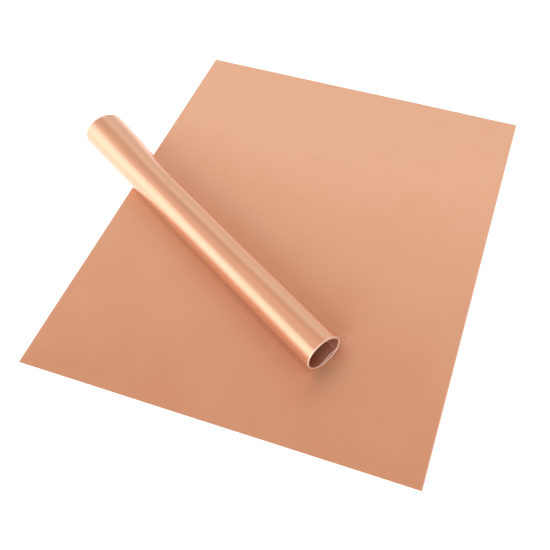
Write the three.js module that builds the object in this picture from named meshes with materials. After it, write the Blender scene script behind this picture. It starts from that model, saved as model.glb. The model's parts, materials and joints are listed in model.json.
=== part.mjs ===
// Two sheets of bare copper foil of one size. One lies flat. The other is rolled into an open tube that lies
// across it, with one end past the flat sheet's edge.
//
// The outer end of the rolled foil is made as narrow strips, edge to edge, so that it can uncurl from the tube.
// Each strip's group sits on its hinge line, inside the group of the strip before it.
//
// Millimetres, +Z up. The origin is the middle of the flat sheet's underside. +X runs along the tube, towards
// the end that lies over the flat sheet. Angles round the tube are clockwise from its top, seen from that end.

import * as THREE from 'three';

const { degToRad } = THREE.MathUtils;
const FULL_TURN = 2 * Math.PI;

// The foil, as it is sold: 8 by 10 inches, 36 gauge.
const SHEET_WIDTH = 203.2;
const SHEET_LENGTH = 254;
const FOIL_THICKNESS = 0.127;
const COPPER_COLOUR = 0xd8977a;

// How the flat sheet is turned under the tube.
const SHEET_TURN = degToRad(31.7);

// The tube. WRAP_PITCH is how far one wrap lies inside the one around it.
const TUBE_RADIUS = 10.44;
const WRAP_PITCH = 0.18;
const TUBE_MIDDLE_X = -25.5;
const TUBE_AXIS_Y = -46;
const TUBE_CLEARANCE = 0.3;
const SEGMENT_ANGLE = degToRad(5);

// The outer end of the foil, which uncurls.
const FREE_EDGE_ANGLE = degToRad(135);
const STRIP_COUNT = 6;
const STRIP_ANGLE = degToRad(25);
const HINGE_GAP = 0.3;

// The inner end of the foil springs straighter than the wraps, so it stands off them between two contact lines.
const INNER_END_ANGLE = degToRad(75);
const INNER_END_GAP = 2.2;

const outerMidRadius = TUBE_RADIUS - FOIL_THICKNESS / 2;
const tubeAxisZ = FOIL_THICKNESS + TUBE_CLEARANCE + TUBE_RADIUS;
const freeEndAngle = STRIP_COUNT * STRIP_ANGLE;

// The wraps' whole angle, at which a spiral that loses WRAP_PITCH each turn is SHEET_LENGTH long.
const innerRadiusFactor = Math.sqrt(outerMidRadius ** 2 - WRAP_PITCH * SHEET_LENGTH / Math.PI);
const wrapsAngle = (outerMidRadius - innerRadiusFactor) * FULL_TURN / WRAP_PITCH;

// How far the foil stands in from its spiral near its inner end: zero and tangent where it leaves the wraps,
// and zero again at the edge.
function innerEndGap(back) {
  const along = (back - (wrapsAngle - INNER_END_ANGLE)) / INNER_END_ANGLE;
  return along > 0 ? INNER_END_GAP * 6.75 * along ** 2 * (1 - along) : 0;
}

// A point of the foil in the plane across the tube, x sideways and y up from the tube's axis. back is the angle
// wound back from the free edge, and offset is the distance out from the foil's middle surface.
function foilPoint(back, offset = 0) {
  const radius = outerMidRadius - WRAP_PITCH * back / FULL_TURN - innerEndGap(back) + offset;
  const angle = FREE_EDGE_ANGLE - back;
  return new THREE.Vector2(radius * Math.sin(angle), radius * Math.cos(angle));
}

// The angles at which a length of foil has its corners. They fall on the same rays in every wrap.
function cornerAngles(start, end) {
  const angles = [start];
  const firstWhole = Math.floor(start / SEGMENT_ANGLE) + 1;
  for (let step = firstWhole; step * SEGMENT_ANGLE < end - SEGMENT_ANGLE / 100; step += 1) {
    angles.push(step * SEGMENT_ANGLE);
  }
  angles.push(end);
  return angles;
}

// A length of foil from one wound-back angle to another, as wide as the sheet, about a given origin.
function foilMesh(name, start, end, origin) {
  const angles = cornerAngles(start, end);
  const outerFace = angles.map((angle) => foilPoint(angle, FOIL_THICKNESS / 2).sub(origin));
  const innerFace = angles.map((angle) => foilPoint(angle, -FOIL_THICKNESS / 2).sub(origin));
  const outline = new THREE.Shape([...outerFace, ...innerFace.reverse()]);
  const geometry = new THREE.ExtrudeGeometry(outline, { depth: SHEET_WIDTH, bevelEnabled: false });
  geometry.translate(0, 0, -SHEET_WIDTH / 2);
  return copperMesh(name, geometry);
}

function copperMesh(name, geometry) {
  const material = new THREE.MeshStandardMaterial({ color: COPPER_COLOUR, metalness: 1, roughness: 0.3 });
  const mesh = new THREE.Mesh(geometry, material);
  mesh.name = name;
  return mesh;
}

function halfGapAngle(back) {
  return HINGE_GAP / 2 / foilPoint(back).length();
}

function makeFlatSheet() {
  const sheet = copperMesh('flat_sheet', new THREE.BoxGeometry(SHEET_WIDTH, SHEET_LENGTH, FOIL_THICKNESS));
  sheet.position.z = FOIL_THICKNESS / 2;
  sheet.rotation.z = SHEET_TURN;
  return sheet;
}

// The strips of the free end, numbered from the one next to the tube to the one with the free edge.
function addFreeEnd(tube) {
  let parent = tube;
  let parentHinge = new THREE.Vector2();
  for (let number = 1; number <= STRIP_COUNT; number += 1) {
    const hingeBack = freeEndAngle - (number - 1) * STRIP_ANGLE;
    const edgeBack = hingeBack - STRIP_ANGLE;
    const isLast = number === STRIP_COUNT;
    const start = isLast ? 0 : edgeBack + halfGapAngle(edgeBack);
    const end = hingeBack - halfGapAngle(hingeBack);
    const hinge = foilPoint(hingeBack);
    const strip = new THREE.Group();
    strip.position.set(hinge.x - parentHinge.x, hinge.y - parentHinge.y, 0);
    strip.add(foilMesh(`free_end_strip_${number}`, start, end, hinge));
    parent.add(strip);
    parent = strip;
    parentHinge = hinge;
  }
}

function makeRolledFoil() {
  const tube = new THREE.Group();
  const start = freeEndAngle + halfGapAngle(freeEndAngle);
  tube.add(foilMesh('roll_wraps', start, wrapsAngle, new THREE.Vector2()));
  addFreeEnd(tube);
  const sideways = new THREE.Vector3(0, 1, 0);
  const up = new THREE.Vector3(0, 0, 1);
  const along = new THREE.Vector3(1, 0, 0);
  tube.setRotationFromMatrix(new THREE.Matrix4().makeBasis(sideways, up, along));
  tube.position.set(TUBE_MIDDLE_X, TUBE_AXIS_Y, tubeAxisZ);
  return tube;
}

const foilSheets = new THREE.Group();
foilSheets.add(makeFlatSheet());
foilSheets.add(makeRolledFoil());

export default foilSheets;
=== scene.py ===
import json
import math

import bpy
import numpy as np
from mathutils import Matrix, Vector


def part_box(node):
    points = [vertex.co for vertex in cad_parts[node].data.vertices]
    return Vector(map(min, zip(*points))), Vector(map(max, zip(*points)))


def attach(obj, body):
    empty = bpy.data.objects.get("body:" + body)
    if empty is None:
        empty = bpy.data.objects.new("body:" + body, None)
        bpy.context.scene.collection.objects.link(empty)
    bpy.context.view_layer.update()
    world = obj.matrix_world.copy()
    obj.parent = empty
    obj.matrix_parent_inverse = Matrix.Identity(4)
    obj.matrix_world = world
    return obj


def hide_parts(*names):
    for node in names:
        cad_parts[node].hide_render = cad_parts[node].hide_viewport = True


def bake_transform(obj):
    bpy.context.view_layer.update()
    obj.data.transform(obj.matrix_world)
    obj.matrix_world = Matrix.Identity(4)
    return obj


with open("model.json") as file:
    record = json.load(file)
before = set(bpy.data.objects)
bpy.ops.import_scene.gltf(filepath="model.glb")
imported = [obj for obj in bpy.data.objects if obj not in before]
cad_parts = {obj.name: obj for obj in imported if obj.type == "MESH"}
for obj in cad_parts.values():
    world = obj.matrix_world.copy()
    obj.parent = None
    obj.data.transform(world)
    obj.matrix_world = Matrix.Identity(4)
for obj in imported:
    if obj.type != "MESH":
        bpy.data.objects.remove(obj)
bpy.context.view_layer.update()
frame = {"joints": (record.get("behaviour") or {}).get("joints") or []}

# Two sheets of bare copper foil: one flat, one rolled into an open tube that lies across it.
# Metres, +Z up, in the CAD frame: +X runs along the tube, towards its near end.
hinges = {joint["child"]: joint["pos_m"] for joint in frame["joints"] if joint["type"] == "hinge"}

# The foil.
SHEET_WIDTH = 0.2032
SHEET_LENGTH = 0.254
FOIL_THICKNESS = 0.000127
SHEET_TURN = math.radians(31.7)

# The tube, as wound in CAD. Angles round it are clockwise from its top, seen from its near end.
TUBE_RADIUS = 0.01044
WRAP_PITCH = 0.00018
FREE_EDGE_ANGLE = math.radians(135)
STRIP_ANGLE = math.radians(25)
STRIP_COUNT = 6
INNER_END_ANGLE = math.radians(75)
INNER_END_GAP = 0.0022

outer_mid_radius = TUBE_RADIUS - FOIL_THICKNESS / 2
free_end_angle = STRIP_COUNT * STRIP_ANGLE
inner_factor = math.sqrt(outer_mid_radius ** 2 - WRAP_PITCH * SHEET_LENGTH / math.pi)
wraps_angle = (outer_mid_radius - inner_factor) * 2 * math.pi / WRAP_PITCH

# The tube's middle. Its box gives the place along it, and the first hinge lies on a known point of the
# spiral.
tube_low, tube_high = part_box("roll_wraps")
tube_middle_x = (tube_low.x + tube_high.x) / 2
first_hinge = Vector(hinges["free_end_strip_1"])
hinge_angle = FREE_EDGE_ANGLE - free_end_angle
hinge_radius = outer_mid_radius - WRAP_PITCH * free_end_angle / (2 * math.pi)
tube_axis_y = first_hinge.y - hinge_radius * math.sin(hinge_angle)
tube_axis_z = first_hinge.z - hinge_radius * math.cos(hinge_angle)

# The hand-rolled tube. It swells a little at its far end, where the free end also stands off the wrap below
# it and the cut is slightly slanted. It is a little tight at its near end, bows slightly in plan, drifts to
# one side, and settles on the sheet.
FAR_END_SWELL = 0.0005
FAR_END_OPENING = 0.003
OPENING_ARC = math.radians(175)
SWELL_REACH = 0.062
FAR_END_SLANT = 0.0014
SLANT_REACH = 0.03
SLACK = -0.0001
NEAR_END_SQUEEZE = 0.0001
SQUEEZE_REACH = 0.05
BOW = 0.0004
DRIFT = 0.0004
TUBE_SETTLE = 0.0003

# Its wall is slightly oval, in a direction that turns along the tube, and softly dented.
OVAL_HEIGHT = 0.00006
OVAL_PHASE = 0.6
OVAL_TWIST = 3
DENT_HEIGHT = 0.000035
DENT_LENGTH = 0.045
DENT_STRETCH = 1.6
DENT_SEED = 5

# Brings the peak of t * t * (1 - t) to 1.
CUBIC_SCALE = 6.75

# The near corner of the free edge has sprung away from the tube, and its edge draws back as it bends.
CORNER_ARC = math.radians(90)
CORNER_REACH = 0.0245
CORNER_SETBACK = 0.001
SETBACK_EASE = math.radians(40)

# The flat sheet's slow waves, which die out under the tube.
WAVE_HEIGHT = 0.00008
WAVE_LENGTH = 0.11
WAVE_SEED = 21
PRESSED_HALF_WIDTH = 0.006
PRESSED_EASE = 0.025

# How finely the sheets are divided. The steps round the tube are in degrees.
SHEET_COLUMNS = 82
SHEET_ROWS = 102
PLAIN_STATIONS = 52
FINE_STATIONS = 28
FINE_MARGIN = 0.002
OUTER_STEP = 1.25
MIDDLE_STEP = 5
INNER_STEP = 2.5
OUTER_OVERLAP = math.radians(20)
SHARP_ANGLE = math.radians(50)


def smoothstep(value):
    value = np.clip(value, 0, 1)
    return value * value * (3 - 2 * value)


def gentle_waves(u, v, seed, wavelength, count=14):
    """A smooth random height, about -1 to 1, over coordinates u and v, as a sum of sine waves."""
    random = np.random.default_rng(seed)
    height = np.zeros(np.broadcast(u, v).shape)
    for _ in range(count):
        direction = random.uniform(0, 2 * math.pi)
        length = wavelength * random.uniform(0.7, 1.8)
        phase = random.uniform(0, 2 * math.pi)
        along = u * math.cos(direction) + v * math.sin(direction)
        height += np.sin(2 * math.pi * along / length + phase)
    return height / math.sqrt(count)


# --- The rolled foil's shape -----------------------------------------------------------------------

def wrap_radius(back):
    """The foil's middle radius at an angle wound back from the free edge. Its inner end stands off."""
    along = np.clip((back - (wraps_angle - INNER_END_ANGLE)) / INNER_END_ANGLE, 0, 1)
    gap = INNER_END_GAP * CUBIC_SCALE * along ** 2 * (1 - along)
    return outer_mid_radius - WRAP_PITCH * back / (2 * math.pi) - gap


def end_profile(x):
    """The tube's change of radius along its length: swollen at its far end, tight at its near end."""
    swollen = smoothstep(1 - (x + SHEET_WIDTH / 2) / SWELL_REACH)
    squeezed = smoothstep(1 - (SHEET_WIDTH / 2 - x) / SQUEEZE_REACH)
    return SLACK + FAR_END_SWELL * swollen - NEAR_END_SQUEEZE * squeezed


def free_end_opening(back, x):
    """How far the free end of the foil stands off the wrap below it, towards the tube's far end."""
    near_far_end = smoothstep(1 - (x + SHEET_WIDTH / 2) / SWELL_REACH)
    return FAR_END_OPENING * near_far_end * smoothstep(1 - back / OPENING_ARC)


def hand_rolled(angle, x):
    """How far the tube's wall stands from a true cylinder, at an angle round it and a place along it."""
    oval = OVAL_HEIGHT * np.cos(2 * angle + OVAL_PHASE + OVAL_TWIST * x / SHEET_WIDTH)
    round_the_tube = np.cos(angle) * TUBE_RADIUS
    across_the_tube = np.sin(angle) * TUBE_RADIUS
    stretched = round_the_tube * DENT_STRETCH
    dents = DENT_HEIGHT * gentle_waves(x + across_the_tube, stretched, DENT_SEED, DENT_LENGTH)
    return end_profile(x) + oval + dents


def foil_points(back, x, offset):
    """Points of the rolled foil, about the CAD tube's axis: x along it, y sideways, z up."""
    angle = FREE_EDGE_ANGLE - back
    wall = hand_rolled(angle, x)
    from_near_end = SHEET_WIDTH / 2 - x
    sprung = np.clip(1 - from_near_end / CORNER_REACH, 0, 1)
    lifted = CORNER_ARC * sprung
    straight = np.clip(lifted - back, 0, None)
    leaving = angle - straight
    radius = wrap_radius(back) + wall + free_end_opening(back, x)
    y = radius * np.sin(leaving) + radius * straight * np.cos(leaving) + offset * np.sin(leaving)
    z = radius * np.cos(leaving) - radius * straight * np.sin(leaving) + offset * np.cos(leaving)
    along = x / (SHEET_WIDTH / 2)
    aside = BOW * (1 - along ** 2) + DRIFT * (1 - along) / 2
    setback = CORNER_SETBACK * sprung * smoothstep(1 - back / (CORNER_ARC + SETBACK_EASE))
    slant = FAR_END_SLANT * np.sin(angle) * smoothstep(1 - (x + SHEET_WIDTH / 2) / SLANT_REACH)
    return np.stack([x - setback + slant, y - aside, z + end_profile(x) - TUBE_SETTLE], -1)


def foil_mesh(name, backs, stations):
    """A closed length of foil from the first to the last of the angles in backs, as wide as the sheet."""
    back, x = np.meshgrid(backs, stations, indexing="ij")
    faces = [foil_points(back, x, side * FOIL_THICKNESS / 2) for side in (1, -1)]
    rows, columns = back.shape
    vertices = np.concatenate([points.reshape(-1, 3) for points in faces])
    vertices += [tube_middle_x, tube_axis_y, tube_axis_z]
    length = outer_mid_radius * back - WRAP_PITCH * back ** 2 / (4 * math.pi)
    uv = np.stack([x, length - SHEET_LENGTH / 2], -1).reshape(-1, 2)
    return shell_mesh(name, vertices, rows, columns, np.concatenate([uv, uv]))


def shell_mesh(name, vertices, rows, columns, uv):
    """A closed thin shell from two grids of vertices, first the front face's and then the back face's."""
    index = np.arange(rows * columns).reshape(rows, columns)
    behind = index + rows * columns
    front = np.stack([index[:-1, :-1], index[:-1, 1:], index[1:, 1:], index[1:, :-1]], -1)
    back = np.stack([behind[:-1, :-1], behind[1:, :-1], behind[1:, 1:], behind[:-1, 1:]], -1)
    rim = np.concatenate([index[0, :], index[1:, -1], index[-1, -2::-1], index[-2:0:-1, 0]])
    after = np.roll(rim, -1)
    edge = np.stack([after, rim, rim + rows * columns, after + rows * columns], -1)
    quads = [front.reshape(-1, 4), back.reshape(-1, 4), edge]
    mesh = bpy.data.meshes.new(name)
    mesh.from_pydata(vertices.tolist(), [], np.concatenate(quads).tolist())
    material_index = np.zeros(len(mesh.polygons), dtype=np.int32)
    material_index[len(quads[0]):2 * len(quads[0])] = 1
    mesh.polygons.foreach_set("material_index", material_index)
    layer = mesh.uv_layers.new(name="Foil")
    corner = np.empty(len(mesh.loops), dtype=np.int32)
    mesh.loops.foreach_get("vertex_index", corner)
    layer.data.foreach_set("uv", uv[corner].astype(np.float32).ravel())
    mesh.shade_smooth()
    mesh.set_sharp_from_angle(angle=SHARP_ANGLE)
    piece = bpy.data.objects.new(name, mesh)
    bpy.context.scene.collection.objects.link(piece)
    return piece


def tube_stations():
    """Places along the tube, closer together where the near corner springs away."""
    plain_end = SHEET_WIDTH / 2 - CORNER_REACH - FINE_MARGIN
    plain = np.linspace(-SHEET_WIDTH / 2, plain_end, PLAIN_STATIONS)
    fine = np.linspace(plain_end, SHEET_WIDTH / 2, FINE_STATIONS)
    return np.concatenate([plain, fine[1:]])


def even_angles(start, end, degrees):
    return np.linspace(start, end, max(2, round(math.degrees(end - start) / degrees) + 1))


# --- Copper ---------------------------------------------------------------------------------------

# Bright, dull and tarnished copper, which each material's tint multiplies, and the colour of the painted
# shade, darker towards the near end, that multiplies them.
COPPERS = ((0.8, 0.44, 0.262), (0.77, 0.416, 0.243), (0.69, 0.345, 0.192))
NEAR_END_SHADE_COLOUR = (0.79, 0.66, 0.59)

# The cut edges, rough copper painted pale as a highlight, and how wide a line they show on the sheet's
# faces.
CUT_COPPER_WITH_HIGHLIGHT = (0.9, 0.57, 0.43)
CUT_METALLIC = 0.3
CUT_ROUGHNESS = 0.2
BURR_AND_HIGHLIGHT_WIDTH = 0.0007

# The marks on the foil: their scales along the UV map's two axes, their detail and their offset.
CLOUD = (28, 22, 3, 0)
SMUDGE = (75, 60, 5, 17)
LINES = (1400, 9, 2, 4)
SCRATCHES = (700, 110, 4, 9)

# How much the marks change the roughness and the tint.
CLOUD_ROUGHNESS = 0.025
LINE_ROUGHNESS = 0.012
SMUDGE_ROUGHNESS = 0.035
LINE_TINT = 0.12
SMUDGE_TINT = 0.13

COAT_ROUGHNESS = 0.2
BUMP_STRENGTH = 0.06
BUMP_DISTANCE = 0.00002


def copper(name, tint, roughness, metallic, coat, seed, near_end_shade=0):
    """Bare rolled copper: a cloudy tint, faint rolling lines, fine scratches and rough cut edges painted
    pale as a highlight.

    It is laid out by the UV map "Foil", which holds metres from the middle of the cut sheet. The last
    argument sets how strongly a painted shade darkens the sheet towards its near end.
    """
    material = bpy.data.materials.new(name)
    material.use_nodes = True
    nodes, links = material.node_tree.nodes, material.node_tree.links
    nodes.clear()
    output = nodes.new("ShaderNodeOutputMaterial")
    shader = nodes.new("ShaderNodeBsdfPrincipled")
    links.new(shader.outputs["BSDF"], output.inputs["Surface"])
    shader.inputs["Coat Weight"].default_value = coat
    shader.inputs["Coat Roughness"].default_value = COAT_ROUGHNESS
    uv = nodes.new("ShaderNodeUVMap")
    uv.uv_map = "Foil"

    def noise(scale_x, scale_y, detail, offset):
        mapping = nodes.new("ShaderNodeMapping")
        mapping.inputs["Scale"].default_value = (scale_x, scale_y, 1)
        mapping.inputs["Location"].default_value = (offset, seed, 0)
        links.new(uv.outputs["UV"], mapping.inputs["Vector"])
        texture = nodes.new("ShaderNodeTexNoise")
        texture.inputs["Scale"].default_value = 1
        texture.inputs["Detail"].default_value = detail
        links.new(mapping.outputs["Vector"], texture.inputs["Vector"])
        return texture.outputs["Fac"]

    def ranged(value, low, high, start=0.3, end=0.7):
        node = nodes.new("ShaderNodeMapRange")
        node.inputs["From Min"].default_value = start
        node.inputs["From Max"].default_value = end
        node.inputs["To Min"].default_value = low
        node.inputs["To Max"].default_value = high
        links.new(value, node.inputs["Value"])
        return node.outputs["Result"]

    def math_node(operation, *values):
        node = nodes.new("ShaderNodeMath")
        node.operation = operation
        for value, socket in zip(values, node.inputs):
            links.new(value, socket)
        return node.outputs["Value"]

    def mixed(factor, first, second, blend="MIX"):
        node = nodes.new("ShaderNodeMix")
        node.data_type = "RGBA"
        node.blend_type = blend
        links.new(factor, node.inputs["Factor"])
        for colour, socket in ((first, node.inputs["A"]), (second, node.inputs["B"])):
            if isinstance(colour, tuple):
                socket.default_value = (*colour, 1)
            else:
                links.new(colour, socket)
        return node.outputs["Result"]

    def cut_edge(size, axis, line):
        reach = math_node("ABSOLUTE", place.outputs[axis])
        return ranged(reach, 0, 1, size / 2 - line, size / 2)

    place = nodes.new("ShaderNodeSeparateXYZ")
    links.new(uv.outputs["UV"], place.inputs["Vector"])
    side_edge = cut_edge(SHEET_WIDTH, "X", BURR_AND_HIGHLIGHT_WIDTH)
    edge = math_node("MAXIMUM", side_edge, cut_edge(SHEET_LENGTH, "Y", BURR_AND_HIGHLIGHT_WIDTH / 4))
    cloud = noise(*CLOUD)
    smudge = noise(*SMUDGE)
    lines = noise(*LINES)
    scratches = noise(*SCRATCHES)
    tinted = [tuple(part * shade for part, shade in zip(metal, tint)) for metal in COPPERS]
    bright, dull, tarnished = tinted
    shine = math_node("ADD", ranged(cloud, 0.3, 0.7), ranged(lines, -LINE_TINT, LINE_TINT))
    clouded = mixed(shine, dull, bright)
    # Painted shade: the sheet is darker towards its near end, unevenly with the cloud.
    near_end = ranged(place.outputs["Y"], near_end_shade, 0, -SHEET_LENGTH / 2, SHEET_LENGTH / 4)
    shade_amount = math_node("MULTIPLY", near_end, ranged(cloud, 0.85, 1.1))
    with_shade = mixed(shade_amount, clouded, NEAR_END_SHADE_COLOUR, "MULTIPLY")
    stained = mixed(ranged(smudge, 0, SMUDGE_TINT, 0.5, 0.75), with_shade, tarnished)
    # The cut edges' pale colour is a painted highlight; their rougher, less metallic finish is their own.
    links.new(mixed(edge, stained, CUT_COPPER_WITH_HIGHLIGHT), shader.inputs["Base Color"])
    lined = ranged(lines, -LINE_ROUGHNESS, LINE_ROUGHNESS)
    uneven = ranged(cloud, roughness - CLOUD_ROUGHNESS, roughness + CLOUD_ROUGHNESS)
    smudged = ranged(smudge, 0, SMUDGE_ROUGHNESS, 0.45, 0.75)
    marked = math_node("ADD", math_node("ADD", lined, uneven), smudged)
    links.new(math_node("ADD", marked, ranged(edge, 0, CUT_ROUGHNESS, 0, 1)), shader.inputs["Roughness"])
    links.new(ranged(edge, metallic, CUT_METALLIC, 0, 1), shader.inputs["Metallic"])
    bump = nodes.new("ShaderNodeBump")
    bump.inputs["Strength"].default_value = BUMP_STRENGTH
    bump.inputs["Distance"].default_value = BUMP_DISTANCE
    links.new(math_node("ADD", lines, scratches), bump.inputs["Height"])
    links.new(bump.outputs["Normal"], shader.inputs["Normal"])
    return material


# Only the flat sheet is given the painted shade towards its near end.
flat_copper = copper(
    "flat_copper", tint=(1.04, 1.02, 1.005), roughness=0.5, metallic=0.64, coat=0.1, seed=3, near_end_shade=1
)
rolled_copper = copper(
    "rolled_copper", tint=(0.98, 0.94, 0.92), roughness=0.32, metallic=0.88, coat=0.3, seed=11
)
matt_copper = copper("matt_copper", tint=(1.02, 0.9, 0.95), roughness=0.45, metallic=0.9, coat=0, seed=19)


# --- The flat sheet -------------------------------------------------------------------------------

def make_flat_sheet():
    """The flat sheet, lying almost true, with slow waves a fraction of a millimetre high."""
    across = np.linspace(-SHEET_WIDTH / 2, SHEET_WIDTH / 2, SHEET_COLUMNS)
    along = np.linspace(-SHEET_LENGTH / 2, SHEET_LENGTH / 2, SHEET_ROWS)
    x, y = np.meshgrid(across, along, indexing="ij")
    waves = gentle_waves(x, y, WAVE_SEED, WAVE_LENGTH)
    from_tube = np.abs(x * math.sin(SHEET_TURN) + y * math.cos(SHEET_TURN) - tube_axis_y)
    free = smoothstep((from_tube - PRESSED_HALF_WIDTH) / PRESSED_EASE)
    height = WAVE_HEIGHT * (waves - waves.min()) * free
    turn = Matrix.Rotation(SHEET_TURN, 3, "Z")
    top = np.stack([x, y, height + FOIL_THICKNESS], -1).reshape(-1, 3)
    under = np.stack([x, y, height], -1).reshape(-1, 3)
    vertices = np.concatenate([top, under]) @ np.array(turn.transposed())
    uv = np.stack([x, y], -1).reshape(-1, 2)
    sheet = shell_mesh("flat_copper_sheet", vertices, *x.shape, np.concatenate([uv, uv]))
    sheet.data.flip_normals()
    sheet.data.materials.append(flat_copper)
    sheet.data.materials.append(matt_copper)
    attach(sheet, "flat_sheet")
    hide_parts("flat_sheet")


# --- The rolled sheet -----------------------------------------------------------------------------

def finish_rolled(piece):
    piece.data.materials.append(rolled_copper)
    piece.data.materials.append(matt_copper)


def bend_line(start, end, stations):
    """Two points, across the tube, between which the foil bends from one strip to the next.

    They lie along the direction that keeps the whole of one edge of the bend before the first point, and
    the whole of the other edge after the second, with the widest band between.
    """
    edges = [foil_points(back, stations, 0)[:, 1:] for back in (start, end)]
    widest = -math.inf
    for step in range(360):
        way = np.array([math.cos(math.radians(step)), math.sin(math.radians(step))])
        first, last = (edges[0] @ way).max(), (edges[1] @ way).min()
        if last - first > widest:
            widest = last - first
            best = way, first, last
    way, first, last = best
    middle = edges[0].mean(axis=0)
    points = [middle + way * (reach - middle @ way) for reach in (first, last)]
    return [(tube_middle_x, tube_axis_y + point[0], tube_axis_z + point[1]) for point in points]


def make_rolled_sheet():
    stations = tube_stations()
    half = STRIP_ANGLE / 2
    seam = free_end_angle + half
    backs = np.concatenate([
        even_angles(seam, 2 * math.pi + OUTER_OVERLAP, OUTER_STEP),
        even_angles(2 * math.pi + OUTER_OVERLAP, wraps_angle - 2 * math.pi, MIDDLE_STEP)[1:],
        even_angles(wraps_angle - 2 * math.pi, wraps_angle, INNER_STEP)[1:],
    ])
    wraps = foil_mesh("rolled_copper_sheet", backs, stations)
    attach(wraps, "roll")
    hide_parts("roll_wraps")
    finish_rolled(wraps)
    before = "roll"
    for number in range(1, STRIP_COUNT + 1):
        body = f"free_end_strip_{number}"
        hinge_back = free_end_angle - (number - 1) * STRIP_ANGLE
        start, end = hinge_back + half, hinge_back - half
        bend = foil_mesh(f"free_end_bend_{number}", even_angles(end, start, OUTER_STEP), stations)
        bend_line(start, end, stations)
        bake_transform(bend)
        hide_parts(body)
        finish_rolled(bend)
        before = body
    edge = foil_mesh("free_edge", even_angles(0, half, OUTER_STEP), stations)
    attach(edge, before)
    finish_rolled(edge)


make_flat_sheet()
make_rolled_sheet()


# --- Stage, light and camera ----------------------------------------------------------------------

FLOOR_REACH = 60.0
FLOOR_DROP = 0.0002
FLOOR_GLOW = 0.45
LAMP_COLOUR = (0.67, 1.03, 1.3)

# The world's colours are divided by this strength, which keeps them under 1, and multiplied by it again.
STUDIO_STRENGTH = 2.18
WALL = (0.94, 0.94, 0.96)
WALL_FADE = (0.12, 0.4)
TOWARD_BACK = (-0.708, 0.704, 0.046)
STUDIO_STOPS = (
    (0.0, (0.8, 0.68, 0.62)),
    (0.18, (0.97, 0.81, 0.8)),
    (0.33, (1.0, 0.83, 0.82)),
    (0.46, (0.58, 0.45, 0.41)),
    (0.62, (0.68, 0.59, 0.62)),
    (0.78, (1.25, 1.4, 1.54)),
    (0.88, (0.86, 0.88, 0.96)),
    (1.0, (0.84, 0.86, 0.94)),
)

# The camera, about the middle of the flat sheet with that sheet's length along Y.
CAMERA_LENS = 52.05
CAMERA_SHIFT = -0.0244
CAMERA_PLACE = (0.093233, -0.278820, 0.334416)
CAMERA_ELEVATION = math.radians(51.94)
CAMERA_HEADING = math.radians(19.461)
CAMERA_ROLL = math.radians(0.2715)


def make_floor():
    mesh = bpy.data.meshes.new("floor")
    signs = ((-1, -1), (1, -1), (1, 1), (-1, 1))
    corners = [(x * FLOOR_REACH, y * FLOOR_REACH, -FLOOR_DROP) for x, y in signs]
    mesh.from_pydata(corners, [], [(0, 1, 2, 3)])
    floor = bpy.data.objects.new("floor", mesh)
    bpy.context.scene.collection.objects.link(floor)
    material = bpy.data.materials.new("floor_white")
    material.use_nodes = True
    shader = material.node_tree.nodes["Principled BSDF"]
    shader.inputs["Base Color"].default_value = (0.9, 0.9, 0.9, 1)
    shader.inputs["Roughness"].default_value = 0.9
    shader.inputs["Emission Color"].default_value = (1, 1, 1, 1)
    shader.inputs["Emission Strength"].default_value = FLOOR_GLOW
    floor.data.materials.append(material)


def softbox(name, place, width, height, tilt, radiance):
    """A soft upright panel lamp. It faces the upright line through the origin and is tilted in its plane."""
    lamp = bpy.data.lights.new(name, "AREA")
    lamp.shape = "RECTANGLE"
    lamp.size = width
    lamp.size_y = height
    lamp.color = LAMP_COLOUR
    lamp.energy = radiance * math.pi * width * height
    holder = bpy.data.objects.new(name, lamp)
    level = Vector((place[0], place[1], 0))
    facing = level.to_track_quat("Z", "Y").to_matrix().to_4x4()
    holder.matrix_world = Matrix.Translation(place) @ facing @ Matrix.Rotation(tilt, 4, "Z")
    bpy.context.scene.collection.objects.link(holder)
    return holder


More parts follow.
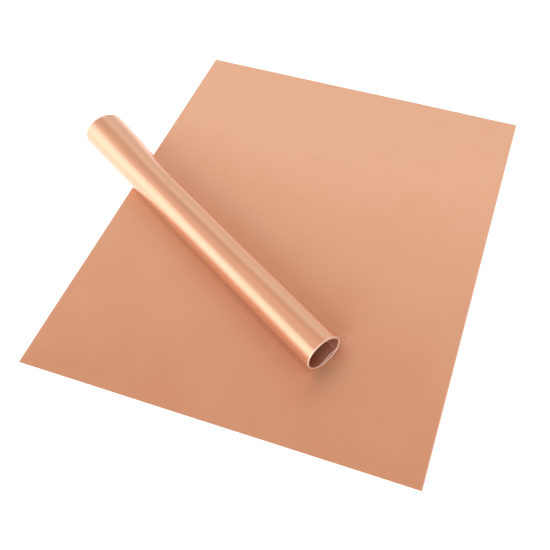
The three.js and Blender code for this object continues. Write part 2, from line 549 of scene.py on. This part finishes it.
def make_world():
    """A pale wall all round, and above it a studio whose colour goes by the angle from TOWARD_BACK."""
    world = bpy.data.worlds.new("studio")
    bpy.context.scene.world = world
    world.use_nodes = True
    nodes, links = world.node_tree.nodes, world.node_tree.links
    place = nodes.new("ShaderNodeTexCoord")
    toward_back = nodes.new("ShaderNodeVectorMath")
    toward_back.operation = "DOT_PRODUCT"
    toward_back.inputs[1].default_value = TOWARD_BACK
    ramp = nodes.new("ShaderNodeValToRGB")
    while len(ramp.color_ramp.elements) < len(STUDIO_STOPS):
        ramp.color_ramp.elements.new(0.5)
    for element, (position, colour) in zip(ramp.color_ramp.elements, STUDIO_STOPS):
        element.position = position
        element.color = (*(part / STUDIO_STRENGTH for part in colour), 1)
    links.new(place.outputs["Generated"], toward_back.inputs[0])
    links.new(toward_back.outputs["Value"], ramp.inputs["Fac"])
    height = nodes.new("ShaderNodeSeparateXYZ")
    links.new(place.outputs["Generated"], height.inputs["Vector"])
    above_wall = nodes.new("ShaderNodeMapRange")
    above_wall.interpolation_type = "SMOOTHSTEP"
    above_wall.inputs["From Min"].default_value = WALL_FADE[0]
    above_wall.inputs["From Max"].default_value = WALL_FADE[1]
    links.new(height.outputs["Z"], above_wall.inputs["Value"])
    studio = nodes.new("ShaderNodeMix")
    studio.data_type = "RGBA"
    studio.inputs["A"].default_value = (*(part / STUDIO_STRENGTH for part in WALL), 1)
    links.new(above_wall.outputs["Result"], studio.inputs["Factor"])
    links.new(ramp.outputs["Color"], studio.inputs["B"])
    links.new(studio.outputs["Result"], nodes["Background"].inputs["Color"])
    nodes["Background"].inputs["Strength"].default_value = STUDIO_STRENGTH


def make_camera():
    """The camera, placed from the flat sheet's own axes."""
    data = bpy.data.cameras.new("camera")
    data.sensor_width = 36
    data.lens = CAMERA_LENS
    data.shift_x = CAMERA_SHIFT
    camera = bpy.data.objects.new("camera", data)
    turn = Matrix.Rotation(SHEET_TURN, 4, "Z")
    place = Matrix.Translation(CAMERA_PLACE)
    aim = Matrix.Rotation(CAMERA_HEADING, 4, "Z") @ Matrix.Rotation(math.pi / 2 - CAMERA_ELEVATION, 4, "X")
    camera.matrix_world = turn @ place @ aim @ Matrix.Rotation(-CAMERA_ROLL, 4, "Z")
    bpy.context.scene.collection.objects.link(camera)
    bpy.context.scene.camera = camera


make_floor()
make_world()
softbox(
    "left_softbox", place=(-0.6, -0.8, 0.3), width=2.8, height=0.7, tilt=math.radians(14), radiance=1.25
)
fill = softbox("left_fill", place=(0.7, -1.15, 0.8), width=0.9, height=0.9, tilt=0, radiance=12)
fill.visible_glossy = False
make_camera()
bpy.context.scene.view_settings.view_transform = "Standard"
